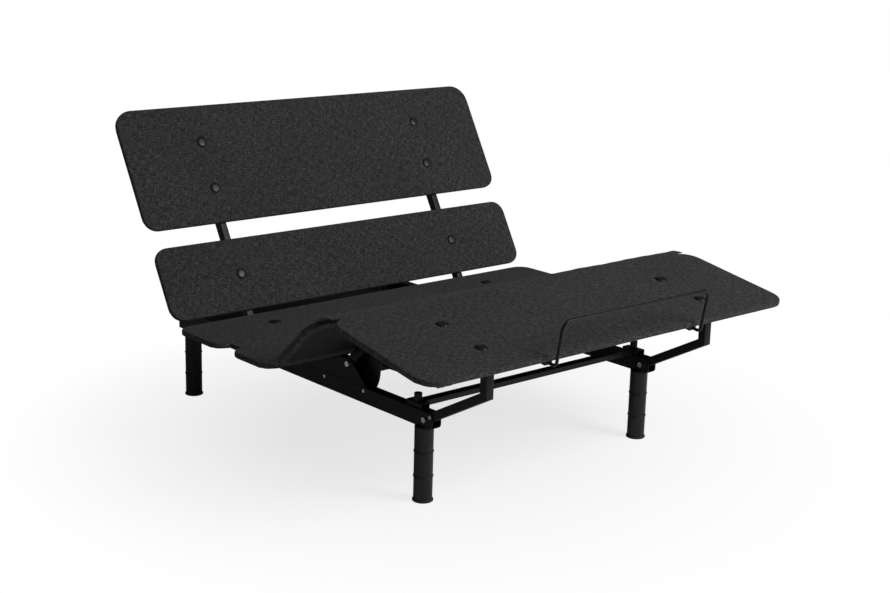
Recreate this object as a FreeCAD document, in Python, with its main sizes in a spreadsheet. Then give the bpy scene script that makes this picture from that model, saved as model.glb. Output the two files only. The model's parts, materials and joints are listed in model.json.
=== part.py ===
"""Adjustable bed base: a steel frame on four stacked legs that carries six cloth covered panels.

The head end lifts about the back pivots.  The foot end rises on a linkage: the thigh section
turns about its pivots on the side rails, the leg section folds on the end of the thigh section,
and two bent foot arms on the rails hold the far end of the leg section.  A linear actuator
moves each half.  The model stands with both halves raised.

Millimetres, +X across the bed, +Y to the head end, +Z up.  Each section is drawn lying flat with
its pivot at (0, 0, 0) and is then turned to its angle.  The fixed frame is drawn with y = 0 at
the head edge of the seat panel and z = 0 on the floor.
"""
import FreeCAD, Part
import math
import os
import re

import Sketcher

V = FreeCAD.Vector
X_AXIS = V(1, 0, 0)

DIMENSIONS = {
    "deck_width": 1511,
    "deck_top": 373,
    "board_thickness": 15,
    "cloth": 1.5,
    "cover_margin": 28,
    "corner_radius": 48,
    "end_corner_radius": 64,
    "upper_back_length": 415,
    "lower_back_length": 246,
    "back_panel_gap": 61,
    "seat_length": 237,
    "seat_hip_gap": 62,
    "hip_length": 200,
    "thigh_length": 244,
    "leg_length": 437,
    "fold_gap": 64,
    "pivot_drop": 37,
    "back_pivot_inset": 21,
    "back_panel_start": 40,
    "back_angle": 60.2,
    "thigh_angle": 42.8,
    "leg_fall": 10.2,
    "pin_radius": 5,
    "pin_clearance": 0.06,
    "bolt_head_radius": 8.5,
    "bolt_head_height": 5,
    "screw_head_radius": 5.5,
    "screw_head_height": 2.5,
    "rail_offset": 461,
    "rail_width": 35,
    "rail_height": 50,
    "rail_wall": 2.5,
    "rail_head_reach": 435,
    "rail_foot_reach": 928,
    "rail_end_round": 16,
    "rail_slot_start": 18,
    "end_cap_lip": 3,
    "end_cap_depth": 14,
    "end_cap_fit": 0.25,
    "head_cross_inset": 30,
    "cross_tube": 30,
    "cross_wall": 2,
    "section_tube_height": 30,
    "fixed_tube_width": 26,
    "moving_tube_width": 25,
    "seat_tube_head_inset": 12,
    "seat_tube_foot_inset": 6,
    "riser_length": 30,
    "riser_inset": 48,
    "foot_cross_place": 844,
    "foot_cross_depth": 32,
    "foot_cross_height": 17,
    "saddle_length": 69,
    "saddle_width": 30,
    "saddle_height": 18,
    "bumper_radius": 12,
    "bumper_height": 23.5,
    "plate": 3,
    "gusset_head_reach": 231,
    "gusset_foot_reach": 91,
    "gusset_crown": 16,
    "gusset_shoulder": 24,
    "hinge_plate": 4,
    "hinge_round": 15,
    "hinge_plate_length": 96,
    "support_leg_radius": 28.5,
    "support_ring_radius": 30.5,
    "support_ring_height": 4,
    "segment_height": 76.2,
    "segment_count": 3,
    "segment_stud": 8,
    "segment_stud_length": 14,
    "segment_stud_fit": 0.3,
    "foot_pad_radius": 31.5,
    "foot_pad_height": 9,
    "head_leg_place": 374,
    "foot_leg_place": 874,
    "leg_mount_height": 3,
    "arm_pivot_place": 893.5,
    "arm_pivot_height": 25,
    "arm_angle": 28.6,
    "arm_width": 28,
    "arm_depth": 27,
    "arm_wall": 2,
    "arm_root": 16,
    "arm_post_reach": 240.5,
    "arm_lug_width": 24,
    "arm_lug_radius": 11,
    "arm_lug_drop": 30,
    "slide_pin_place": 366,
    "slide_pin_drop": 31,
    "slide_travel": 13,
    "slide_sag": 4,
    "slide_play": 0.5,
    "slide_plate_drop": 12,
    "slide_plate_overlap": 40,
    "slide_plate_end": 16,
    "leg_tube_length": 335,
    "quadrant_radius": 109,
    "quadrant_start": 5,
    "quadrant_sweep": 108,
    "quadrant_strip": 165,
    "quadrant_gap": 3,
    "thigh_cross_place": 140,
    "back_cross_place": 95,
    "upper_back_cross_place": 600,
    "section_cross_rise": 4,
    "section_cross_tube": 25,
    "back_tube_end": 14,
    "back_tube_length": 715,
    "lever_plate": 5,
    "lever_gap": 26,
    "lever_half_width": 17,
    "lever_foot": 46,
    "back_lever_radius": 130,
    "thigh_lever_radius": 120,
    "slot_play_back": 3,
    "slot_play_thigh": 1.5,
    "slot_end_play": 1,
    "actuator_offset": 130,
    "actuator_height": 215,
    "head_actuator_length": 333,
    "head_guide_length": 285,
    "head_rod_length": 240,
    "knee_actuator_length": 272,
    "knee_guide_length": 243,
    "knee_rod_length": 180,
    "rod_radius": 10,
    "rod_fit": 0.3,
    "rod_eye_radius": 12,
    "rod_eye_width": 24,
    "guide_radius": 17,
    "gearbox_length": 56,
    "gearbox_width": 52,
    "gearbox_height": 50,
    "gearbox_setback": 17,
    "motor_radius": 25,
    "motor_length": 112,
    "cap_radius": 18.5,
    "cap_top_radius": 13.5,
    "cap_height": 5.5,
    "cap_shank_radius": 4,
    "cap_hole_radius": 4.5,
    "upper_back_cap": 631,
    "middle_back_cap": 467,
    "lower_back_cap": 163,
    "seat_cap": 125,
    "knee_leg_cap": 183,
    "foot_leg_cap": 349,
    "bar_radius": 5,
    "bar_reach": 305,
    "bar_stand_off": 22,
    "bar_rise": 111,
    "bar_bend": 24,
    "bar_foot_bend": 14,
    "bar_tail": 48,
    "bar_floor": 6,
    "clip_width": 30,
    "clip_length": 22,
    "clip_height": 14,
    "control_box_width": 180,
    "control_box_length": 112,
    "control_box_height": 42,
    "control_box_inset": 60,
    "inlet_width": 14,
    "inlet_height": 12,
    "inlet_depth": 12,
    "fold_cloth_dip": 11,
    "fold_cloth_rise": 6,
}

doc = FreeCAD.newDocument("adjustable_bed_base")
sizes = doc.addObject("Spreadsheet::Sheet", "sizes")
for row, (alias, value) in enumerate(DIMENSIONS.items(), start=1):
    sizes.set(f"A{row}", alias)
    sizes.set(f"B{row}", str(value))
    sizes.setAlias(f"B{row}", alias)
doc.recompute()

WORD = re.compile(r"[a-z][a-z_]+")
SIDES = {"left": 1, "right": -1}
SAME_PLACE = 0.01
nodes = {}


def ex(text):
    """An expression in which every alias is read from the sheet."""
    return WORD.sub(lambda m: "sizes." + m.group() if m.group() in DIMENSIONS else m.group(), str(text))


def val(text):
    """The value of such an expression."""
    return float(sizes.evalExpression(ex(text)))


def bind(item, **expressions):
    for name, text in expressions.items():
        item.setExpression(name.replace("__", "."), ex(text))
    return item


def seat(item, x, y, z):
    return bind(item, Placement__Base__x=x, Placement__Base__y=y, Placement__Base__z=z)


def box(size, corner):
    """A block from its three sizes and its low corner."""
    item = doc.addObject("Part::Box", "block")
    bind(item, Length=size[0], Width=size[1], Height=size[2])
    return seat(item, *corner)


def rod(radius, length, start, along="X"):
    """A round bar from the centre of its first end, along +X, +Y or +Z."""
    item = doc.addObject("Part::Cylinder", "bar")
    turns = {"X": (V(0, 1, 0), 90), "Y": (X_AXIS, -90), "Z": (V(0, 0, 1), 0)}
    item.Placement = FreeCAD.Placement(V(), FreeCAD.Rotation(*turns[along]))
    bind(item, Radius=radius, Height=length)
    return seat(item, *start)


def cut(base, *tools):
    for tool in tools:
        item = doc.addObject("Part::Cut", "cut")
        item.Base = base
        item.Tool = tool
        base = item
    return base


def fuse(*shapes):
    item = doc.addObject("Part::MultiFuse", "weld")
    item.Shapes = list(shapes)
    return item


def group(*shapes):
    """Separate solids that share one node."""
    item = doc.addObject("Part::Compound", "set")
    item.Links = list(shapes)
    return item


def node(label, item, frame):
    """Names a finished piece and the section of the bed that it moves with."""
    if any("Placement" in path for path, text in item.ExpressionEngine):
        item = group(item)
    item.Label = label
    nodes[label] = (item, frame)


def new_sketch(role, name):
    """A body with an empty sketch on one of its own origin planes."""
    body = doc.addObject("PartDesign::Body", name)
    plane = next(p for p in body.Origin.OriginFeatures if p.Role == role)
    sketch = body.newObject("Sketcher::SketchObject", name + "_sketch")
    sketch.AttachmentSupport = [(plane, "")]
    sketch.MapMode = "FlatFace"
    return body, sketch


def draw_loop(sketch, points):
    """A closed run of straight lines whose corners are pinned to (u, v) expressions."""
    first = sketch.GeometryCount
    spots = [V(val(u), val(v), 0) for u, v in points]
    count = len(spots)
    for i in range(count):
        sketch.addGeometry(Part.LineSegment(spots[i], spots[(i + 1) % count]), False)
    for i in range(count):
        sketch.addConstraint(Sketcher.Constraint("Coincident", first + i, 2, first + (i + 1) % count, 1))
    for i, (u, v) in enumerate(points):
        for kind, text, value in (("DistanceX", u, spots[i].x), ("DistanceY", v, spots[i].y)):
            index = sketch.addConstraint(Sketcher.Constraint(kind, -1, 1, first + i, 1, value))
            sketch.setExpression(f"Constraints[{index}]", ex(text))


def pad(body, sketch, length, backwards=False):
    feature = body.newObject("PartDesign::Pad", "pad")
    feature.Profile = sketch
    feature.Reversed = backwards
    bind(feature, Length=length)
    body.Tip = feature
    return feature


def plate(points, thickness, offset):
    """A plate that stands in a plane of constant x, from its (y, z) corners."""
    body, sketch = new_sketch("YZ_Plane", "plate")
    draw_loop(sketch, points)
    pad(body, sketch, thickness)
    return seat(body, offset, "0", "0")


def tube(width, height, wall, length, start, along="Y"):
    """A rectangular tube from the middle of its first end, along +X, +Y or +Z."""
    role = {"Y": "XZ_Plane", "X": "YZ_Plane", "Z": "XY_Plane"}[along]
    body, sketch = new_sketch(role, "tube")
    for inset in ("0", wall):
        u = f"({width}) / 2 - {inset}"
        v = f"({height}) / 2 - {inset}"
        draw_loop(sketch, [(f"-({u})", f"-({v})"), (u, f"-({v})"), (u, v), (f"-({u})", v)])
    pad(body, sketch, length, backwards=along == "Y")
    return seat(body, *start)


def slab(width, length, height, start, low_radius, high_radius):
    """A flat board with rounded corners from the middle of its low y edge and its underside."""
    body, sketch = new_sketch("XY_Plane", "board")
    half = f"({width}) / 2"
    draw_loop(sketch, [(f"-{half}", "0"), (half, "0"), (half, length), (f"-{half}", length)])
    last = pad(body, sketch, height)
    doc.recompute()
    middle = val(length) / 2
    for radius, wanted in ((low_radius, lambda y: y < middle), (high_radius, lambda y: y > middle)):
        upright = [
            f"Edge{i}"
            for i, edge in enumerate(last.Shape.Edges, start=1)
            if len(edge.Vertexes) == 2
            and abs(edge.Vertexes[0].Z - edge.Vertexes[1].Z) > val(height) / 2
            and isinstance(edge.Curve, Part.Line)
            and abs(abs(edge.Vertexes[0].X) - val(half)) < SAME_PLACE
            and wanted(edge.Vertexes[0].Y)
        ]
        fillet = body.newObject("PartDesign::Fillet", "corners")
        fillet.Base = (last, upright)
        bind(fillet, Radius=radius)
        body.Tip = fillet
        doc.recompute()
        last = fillet
    return seat(body, *start)


# ---------------------------------------------------------------- shared places
PANEL = "board_thickness + 2 * cloth"
PIVOT_Z = "(deck_top - pivot_drop)"
TUBE_TOP = "(pivot_drop - board_thickness - 2 * cloth)"
TUBE_MID = f"({TUBE_TOP} - section_tube_height / 2)"
HIP_HEAD = "(-seat_length - seat_hip_gap)"
HIP_FOOT = "(-seat_length - seat_hip_gap - hip_length)"
KNEE_Y = f"({HIP_FOOT} - fold_gap / 2)"
THIGH_SPAN = "(thigh_length + fold_gap)"
LEG_END = "(-fold_gap / 2 - leg_length)"
RAIL_LOW = "(segment_count * segment_height + leg_mount_height)"
RAIL_TOP = "(segment_count * segment_height + leg_mount_height + rail_height)"
RAIL_MID = "(segment_count * segment_height + leg_mount_height + rail_height / 2)"
ARM_Z = "(segment_count * segment_height + leg_mount_height + arm_pivot_height)"
HOLE = "pin_radius + pin_clearance"


def across(side, inner, width):
    """Low x of a block `width` wide whose inner face is `inner` out from the bed's middle."""
    return f"({inner})" if side > 0 else f"(-({inner}) - ({width}))"


def pin(side, inner, outer, y, z, inner_head=False):
    """A pivot bolt: its shank between two x distances, and a head on the outer end."""
    parts = [rod("pin_radius", f"({outer}) - ({inner})", (across(side, inner, f"({outer}) - ({inner})"), y, z))]
    parts.append(rod("bolt_head_radius", "bolt_head_height", (across(side, outer, "bolt_head_height"), y, z)))
    if inner_head:
        start = across(side, f"({inner}) - bolt_head_height", "bolt_head_height")
        parts.append(rod("bolt_head_radius", "bolt_head_height", (start, y, z)))
    return fuse(*parts)


# ---------------------------------------------------------------- side rails
for name, side in SIDES.items():
    x = f"{side} * rail_offset"
    rail = tube(
        "rail_width", "rail_height", "rail_wall", "rail_foot_reach + rail_head_reach",
        (x, "-rail_foot_reach", RAIL_MID),
    )
    arm_slot = box(
        ("rail_width - 2 * rail_wall", "rail_foot_reach - arm_pivot_place + rail_slot_start", "rail_wall * 3"),
        (across(side, "rail_offset - rail_width / 2 + rail_wall", "rail_width - 2 * rail_wall"),
         "-rail_foot_reach - rail_wall", f"{RAIL_TOP} - rail_wall * 2"),
    )
    bore = rod(HOLE, "rail_width * 2", (f"{x} - rail_width", "-arm_pivot_place", ARM_Z))
    square_end = box(
        ("rail_width * 2", "rail_end_round * 2", "rail_end_round * 2"),
        (f"{x} - rail_width", "-rail_foot_reach - rail_end_round", f"{RAIL_LOW} - rail_end_round"),
    )
    round_end = rod(
        "rail_end_round", "rail_width * 3",
        (f"{x} - rail_width * 1.5", "-rail_foot_reach + rail_end_round", f"{RAIL_LOW} + rail_end_round"),
    )
    keep_head = box(
        ("rail_width * 3", "rail_end_round * 2", "rail_end_round * 4"),
        (f"{x} - rail_width * 1.5", "-rail_foot_reach + rail_end_round", f"{RAIL_LOW} - rail_end_round * 2"),
    )
    keep_top = box(
        ("rail_width * 3", "rail_end_round * 4", "rail_end_round * 2"),
        (f"{x} - rail_width * 1.5", "-rail_foot_reach - rail_end_round * 2", f"{RAIL_LOW} + rail_end_round"),
    )
    corner = cut(square_end, round_end, keep_head, keep_top)
    node(f"side_rail_{name}", cut(rail, arm_slot, bore, corner), "base")

caps = []
for side in SIDES.values():
    x = f"{side} * rail_offset"
    lip = box(
        ("rail_width", "end_cap_lip", "rail_height"),
        (f"{x} - rail_width / 2", "rail_head_reach", RAIL_LOW),
    )
    inner = "rail_wall + end_cap_fit"
    plug = box(
        (f"rail_width - 2 * ({inner})", "end_cap_depth + end_cap_lip", f"rail_height - 2 * ({inner})"),
        (f"{x} - rail_width / 2 + {inner}", "rail_head_reach - end_cap_depth", f"{RAIL_LOW} + {inner}"),
    )
    caps.append(fuse(lip, plug))
node("rail_end_caps", group(*caps), "base")

# ---------------------------------------------------------------- cross members
RAIL_GAP = "2 * rail_offset - rail_width"
RAIL_INNER = "(rail_offset - rail_width / 2)"
node(
    "head_cross_rail",
    tube("cross_tube", "cross_tube", "cross_wall", RAIL_GAP,
         (f"-{RAIL_INNER}", "rail_head_reach - head_cross_inset - cross_tube / 2", RAIL_MID), along="X"),
    "base",
)
saddle_inner = "(rail_offset - saddle_width / 2)"
foot_parts = [
    tube("foot_cross_depth", "foot_cross_height", "cross_wall", f"2 * {saddle_inner}",
         (f"-{saddle_inner}", "-foot_cross_place", f"{RAIL_TOP} + saddle_height - foot_cross_height / 2"),
         along="X")
]
bumpers = []
for side in SIDES.values():
    foot_parts.append(
        tube("saddle_width", "saddle_height", "cross_wall", "saddle_length",
             (f"{side} * rail_offset", "-foot_cross_place - saddle_length / 2",
              f"{RAIL_TOP} + saddle_height / 2"))
    )
    bumpers.append(
        rod("bumper_radius", "bumper_height",
            (f"{side} * rail_offset", "-foot_cross_place", f"{RAIL_TOP} + saddle_height"), along="Z")
    )
node("foot_cross_rail", fuse(*foot_parts), "base")
node("foot_bumpers", group(*bumpers), "base")

HEAD_SWING = "(back_angle / 2)"
KNEE_SWING = "(thigh_angle / 2)"
HEAD_ANCHOR_Y = f"(back_pivot_inset - back_lever_radius * sin({HEAD_SWING}) - head_actuator_length)"
KNEE_ANCHOR_Y = f"({KNEE_Y} + thigh_lever_radius * sin({KNEE_SWING}) + knee_actuator_length)"
ANCHORS = {"head": (HEAD_ANCHOR_Y, 1), "knee": (KNEE_ANCHOR_Y, -1)}
cross_rails = []
anchor_pins = []
for anchor_y, side in ANCHORS.values():
    low = f"{RAIL_TOP} - cross_tube"
    beam = tube("cross_tube", "cross_tube", "cross_wall", RAIL_GAP,
                (f"-{RAIL_INNER}", anchor_y, f"{low} + cross_tube / 2"), along="X")
    ears = []
    for ear_side in SIDES.values():
        x = f"{side} * actuator_offset + {ear_side} * (lever_gap / 2 + lever_plate / 2) - lever_plate / 2"
        ear = box(("lever_plate", "cross_tube", f"{low} - actuator_height + rod_eye_radius"),
                  (x, f"{anchor_y} - cross_tube / 2", "actuator_height - rod_eye_radius"))
        hole = rod(HOLE, "lever_plate * 3", (f"{x} - lever_plate", anchor_y, "actuator_height"))
        ears.append(cut(ear, hole))
    cross_rails.append(fuse(beam, *ears))
    span = "lever_gap + 2 * lever_plate"
    start = f"{side} * actuator_offset - ({span}) / 2"
    shank = rod("pin_radius", f"{span} + bolt_head_height", (start, anchor_y, "actuator_height"))
    head = rod("bolt_head_radius", "bolt_head_height",
               (f"{start} - bolt_head_height", anchor_y, "actuator_height"))
    anchor_pins.append(fuse(shank, head))
node("actuator_cross_rails", group(*cross_rails), "base")
node("actuator_pins", group(*anchor_pins), "base")

# ---------------------------------------------------------------- seat frame
seat_tubes = []
risers = []
for side in SIDES.values():
    x = f"{side} * rail_offset"
    foot = f"{HIP_FOOT} + seat_tube_foot_inset"
    seat_tubes.append(
        tube("fixed_tube_width", "section_tube_height", "cross_wall",
             f"-seat_tube_head_inset - ({foot})", (x, foot, f"{PIVOT_Z} + {TUBE_MID}"))
    )
    riser_places = (
        "-riser_inset - riser_length / 2",
        f"{HIP_HEAD} + seat_hip_gap / 2 + riser_length / 2 + riser_inset / 2",
        f"{HIP_FOOT} + riser_inset * 1.5",
    )
    for y in riser_places:
        low = RAIL_TOP
        high = f"({PIVOT_Z} + {TUBE_TOP} - section_tube_height)"
        risers.append(
            tube("fixed_tube_width", "riser_length", "cross_wall", f"{high} - {low}", (x, y, low), along="Z")
        )
node("seat_tubes", group(*seat_tubes), "base")
node("deck_risers", group(*risers), "base")

# ---------------------------------------------------------------- pivot plates of the fixed frame
for name, side in SIDES.items():
    ears = []
    for inner in ("rail_offset + rail_width / 2 - plate", "rail_offset - rail_width / 2"):
        profile = [
            (f"{KNEE_Y} - gusset_foot_reach", RAIL_TOP),
            (f"{KNEE_Y} + gusset_head_reach", RAIL_TOP),
            (f"{KNEE_Y} + gusset_head_reach / 3", f"{PIVOT_Z} + gusset_crown / 4"),
            (f"{KNEE_Y} + gusset_shoulder", f"{PIVOT_Z} + gusset_crown"),
            (f"{KNEE_Y} - gusset_shoulder / 2", f"{PIVOT_Z} + gusset_crown"),
            (f"{KNEE_Y} - gusset_shoulder", f"{PIVOT_Z} + gusset_crown / 2"),
        ]
        ear = plate(profile, "plate", across(side, inner, "plate"))
        hole = rod(HOLE, "plate * 3", (f"{across(side, inner, 'plate')} - plate", KNEE_Y, PIVOT_Z))
        ears.append(cut(ear, hole))
    node(f"knee_gusset_{name}", group(*ears), "base")

hinge_plates = []
for side in SIDES.values():
    for inner in (
        "rail_offset + fixed_tube_width / 2",
        "rail_offset - fixed_tube_width / 2 - hinge_plate",
    ):
        head = "back_pivot_inset + hinge_round"
        foot = f"back_pivot_inset + hinge_round - hinge_plate_length"
        profile = [
            (foot, f"{PIVOT_Z} - hinge_round / 2"),
            ("0 - seat_tube_head_inset", f"{PIVOT_Z} - hinge_round"),
            (f"{head} - hinge_round / 2", f"{PIVOT_Z} - hinge_round"),
            (head, f"{PIVOT_Z} - hinge_round / 2"),
            (head, f"{PIVOT_Z} + hinge_round / 2"),
            (f"{head} - hinge_round / 2", f"{PIVOT_Z} + hinge_round"),
            (foot, f"{PIVOT_Z} + hinge_round"),
        ]
        offset = across(side, inner, "hinge_plate")
        hole = rod(HOLE, "hinge_plate * 3", (f"{offset} - hinge_plate", "back_pivot_inset", PIVOT_Z))
        hinge_plates.append(cut(plate(profile, "hinge_plate", offset), hole))
node("back_hinge_plates", group(*hinge_plates), "base")

bolts = []
screws = []
for side in SIDES.values():
    hinge_inner = "rail_offset - fixed_tube_width / 2 - hinge_plate"
    hinge_outer = "rail_offset + fixed_tube_width / 2 + hinge_plate"
    rail_outer = "rail_offset + rail_width / 2"
    rail_inner = "rail_offset - rail_width / 2"
    bolts.append(pin(side, hinge_inner, hinge_outer, "back_pivot_inset", PIVOT_Z, inner_head=True))
    bolts.append(pin(side, rail_inner, rail_outer, KNEE_Y, PIVOT_Z))
    bolts.append(pin(side, rail_inner, rail_outer, "-arm_pivot_place", ARM_Z, inner_head=True))
    screw_places = (
        (f"{KNEE_Y} + gusset_head_reach / 2", f"{RAIL_TOP} - screw_head_radius * 2.5"),
        (f"{KNEE_Y} - gusset_foot_reach + screw_head_radius * 2", f"{RAIL_TOP} - screw_head_radius * 2"),
        ("-rail_foot_reach + screw_head_radius * 1.5", f"{RAIL_TOP} - screw_head_radius * 2"),
    )
    for y, z in screw_places:
        start = across(side, rail_outer, "screw_head_height")
        screws.append(rod("screw_head_radius", "screw_head_height", (start, y, z)))
node("pivot_bolts", group(*bolts), "base")
node("rail_screws", group(*screws), "base")

# ---------------------------------------------------------------- support legs
mounts = []
pads = []
LEG_ENDS = {"head": "head_leg_place", "foot": "-foot_leg_place"}
for end_name, y in LEG_ENDS.items():
    for name, side in SIDES.items():
        x = f"{side} * rail_offset"
        top = "segment_count * segment_height"
        disc = rod("support_leg_radius", "leg_mount_height", (x, y, top), along="Z")
        stud = rod("segment_stud", "segment_stud_length", (x, y, f"{top} - segment_stud_length"), along="Z")
        mounts.append(fuse(disc, stud))
        pads.append(rod("foot_pad_radius", "foot_pad_height", (x, y, "0"), along="Z"))
        segments = []
        for i in range(int(val("segment_count"))):
            low = f"({i} * segment_height)" if i else "foot_pad_height"
            high = f"({i + 1} * segment_height)"
            pieces = [rod("support_leg_radius", f"{high} - {low}", (x, y, low), along="Z")]
            if i:
                pieces.append(rod("support_ring_radius", "support_ring_height", (x, y, low), along="Z"))
                pieces.append(
                    rod("segment_stud", "segment_stud_length", (x, y, f"{low} - segment_stud_length"), along="Z")
                )
            socket_depth = "segment_stud_length + segment_stud_fit"
            socket = rod("segment_stud + segment_stud_fit", socket_depth,
                         (x, y, f"{high} - ({socket_depth})"), along="Z")
            segments.append(cut(fuse(*pieces) if i else pieces[0], socket))
        node(f"support_leg_{end_name}_{name}", group(*segments), "base")
node("leg_mounts", group(*mounts), "base")
node("foot_pads", group(*pads), "base")


# ---------------------------------------------------------------- panels
def panel(start, length, low_radius, high_radius, cap_places, base_z):
    """A board, and the cloth round it: over the top and edges and a margin under the board."""
    board = slab(
        "deck_width - 2 * cloth", f"({length}) - 2 * cloth", "board_thickness",
        ("0", f"{start} + cloth", f"{base_z} + cloth"), f"({low_radius}) - cloth", f"({high_radius}) - cloth",
    )
    outer = slab("deck_width", length, PANEL, ("0", start, base_z), low_radius, high_radius)
    hollow = slab(
        "deck_width - 2 * cloth", f"({length}) - 2 * cloth", "board_thickness",
        ("0", f"{start} + cloth", f"{base_z} + cloth"), f"({low_radius}) - cloth", f"({high_radius}) - cloth",
    )
    window = slab(
        "deck_width - 2 * cover_margin", f"({length}) - 2 * cover_margin", "cloth * 2",
        ("0", f"{start} + cover_margin", f"{base_z} - cloth"),
        f"({low_radius}) - cover_margin / 2", f"({high_radius}) - cover_margin / 2",
    )
    board_holes = []
    cover_holes = []
    for y in cap_places:
        for side in SIDES.values():
            spot = (f"{side} * rail_offset", y, f"{base_z} - board_thickness")
            board_holes.append(rod("cap_hole_radius", "board_thickness * 4", spot, along="Z"))
            cover_holes.append(rod("cap_hole_radius", "board_thickness * 4", spot, along="Z"))
    return cut(board, *board_holes), cut(outer, hollow, window, *cover_holes)


def cap_set(places, base_z):
    """Round bolt caps on top of the cloth, each with a shank down to the tube under the board."""
    items = []
    for y in places:
        for side in SIDES.values():
            x = f"{side} * rail_offset"
            dome = doc.addObject("Part::Cone", "cap")
            bind(dome, Radius1="cap_radius", Radius2="cap_top_radius", Height="cap_height")
            seat(dome, x, y, f"{base_z} + {PANEL}")
            shank = rod("cap_shank_radius", PANEL, (x, y, base_z), along="Z")
            items.append(fuse(dome, shank))
    return items


CORNER = "corner_radius"
END_CORNER = "end_corner_radius"
DECK_LOW = f"(deck_top - board_thickness - 2 * cloth)"
PANELS = {
    "seat": ("-seat_length", "seat_length", CORNER, CORNER, ["-seat_cap"], DECK_LOW, "base"),
    "hip": (HIP_FOOT, "hip_length", CORNER, CORNER, [], DECK_LOW, "base"),
    "lower_back": ("back_panel_start", "lower_back_length", CORNER, CORNER, ["lower_back_cap"], TUBE_TOP,
                   "back_section"),
    "upper_back": ("back_panel_start + lower_back_length + back_panel_gap", "upper_back_length", CORNER,
                   END_CORNER, ["middle_back_cap", "upper_back_cap"], TUBE_TOP, "back_section"),
    "thigh": ("-fold_gap / 2 - thigh_length", "thigh_length", CORNER, CORNER, [], TUBE_TOP,
              "thigh_section"),
    "leg": (LEG_END, "leg_length", END_CORNER, END_CORNER, ["-knee_leg_cap", "-foot_leg_cap"], TUBE_TOP,
            "leg_section"),
}
section_caps = {}
for name, (start, length, low_radius, high_radius, places, base_z, frame) in PANELS.items():
    board, cover = panel(start, length, low_radius, high_radius, places, base_z)
    node(f"{name}_board", board, frame)
    node(f"{name}_cover", cover, frame)
    section_caps.setdefault(frame, []).extend(cap_set(places, base_z))
for frame, cap_node in (("base", "seat_caps"), ("back_section", "back_caps"), ("leg_section", "leg_caps")):
    node(cap_node, group(*section_caps[frame]), frame)
node(
    "seat_hip_cloth",
    box(("deck_width - 2 * corner_radius", "seat_hip_gap", "cloth"),
        ("-deck_width / 2 + corner_radius", HIP_HEAD, "deck_top - cloth")),
    "base",
)

# ---------------------------------------------------------------- control box
box_low = f"({DECK_LOW} + cloth - control_box_height)"
casing = box(("control_box_width", "control_box_length", "control_box_height"),
             ("-control_box_width / 2", "-control_box_inset - control_box_length", box_low))
inlet = box(("inlet_width", "inlet_depth * 2", "inlet_height"),
            ("-inlet_width / 2", "-control_box_inset - inlet_depth",
             f"{box_low} + control_box_height / 2 - inlet_height / 2"))
node("control_box", cut(casing, inlet), "base")

# ---------------------------------------------------------------- back section
SECTION_X = "rail_offset - moving_tube_width / 2"
for name, side in SIDES.items():
    beam = tube("moving_tube_width", "section_tube_height", "cross_wall", "back_tube_end + back_tube_length",
                (f"{side} * rail_offset", "-back_tube_end", TUBE_MID))
    hole = rod(HOLE, "moving_tube_width * 2", (f"{side} * rail_offset - moving_tube_width", "0", "0"))
    node(f"back_tube_{name}", cut(beam, hole), "back_section")
node(
    "back_cross_tubes",
    group(*(
        tube("section_cross_tube", "section_cross_tube", "cross_wall", f"2 * ({SECTION_X})",
             (f"-({SECTION_X})", y, "section_cross_rise"), along="X")
        for y in ("back_cross_place", "upper_back_cross_place")
    )),
    "back_section",
)


def lever(side, swing, radius, lean, tube_y, play):
    """Two plates from a cross tube down to a slot that points at the pivot.

    `lean` is +1 where the slot hangs on the head side of the pivot with the section flat, and -1
    where it hangs on the foot side.
    """
    def spot(reach, sideways):
        return (
            f"({reach}) * {lean} * sin({swing}) + ({sideways}) * cos({swing})",
            f"-({reach}) * cos({swing}) + ({sideways}) * {lean} * sin({swing})",
        )

    top = "section_cross_rise - section_cross_tube / 2"
    narrow = f"({radius} * cos({swing}) - lever_half_width)"
    wide = f"({radius} + lever_half_width)"
    profile = [
        (f"{tube_y} + {lean} * section_cross_tube / 2", top),
        (f"{tube_y} - {lean} * section_cross_tube / 2", top),
        spot(narrow, f"-{lean} * lever_half_width"),
        spot(wide, f"-{lean} * lever_half_width"),
        spot(wide, f"{lean} * lever_half_width"),
        spot(narrow, f"{lean} * lever_half_width"),
    ]
    plates = []
    for plate_side in SIDES.values():
        x = f"{side} * actuator_offset + {plate_side} * (lever_gap + lever_plate) / 2 - lever_plate / 2"
        low = f"({radius} + pin_radius + slot_end_play)"
        high = f"({radius} * cos({swing}) - pin_radius - slot_end_play)"
        half = f"(pin_radius + {play})"
        slot = box(("lever_plate * 3", f"2 * {half}", f"{low} - {high}"), ("0", "0", "0"))
        slot.Placement = FreeCAD.Placement(V(), FreeCAD.Rotation(X_AXIS, lean * val(swing)))
        seat(slot, f"{x} - lever_plate", *spot(low, f"-{half}"))
        plates.append(cut(plate(profile, "lever_plate", x), slot))
    return group(*plates)


HEAD_SIDE = 1
KNEE_SIDE = -1
node(
    "back_lift_lever",
    lever(HEAD_SIDE, HEAD_SWING, "back_lever_radius", -1, "back_cross_place", "slot_play_back"),
    "back_section",
)

# ---------------------------------------------------------------- thigh section
thigh_tubes = []
for side in SIDES.values():
    x = f"{side} * rail_offset"
    beam = tube("fixed_tube_width", "section_tube_height", "cross_wall",
                f"{THIGH_SPAN} - fold_gap / 2 + back_tube_end",
                (x, f"-{THIGH_SPAN} + fold_gap / 2", TUBE_MID))
    hole = rod(HOLE, "fixed_tube_width * 2", (f"{x} - fixed_tube_width", "0", "0"))
    thigh_tubes.append(cut(beam, hole))
node("thigh_tubes", group(*thigh_tubes), "thigh_section")

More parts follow.
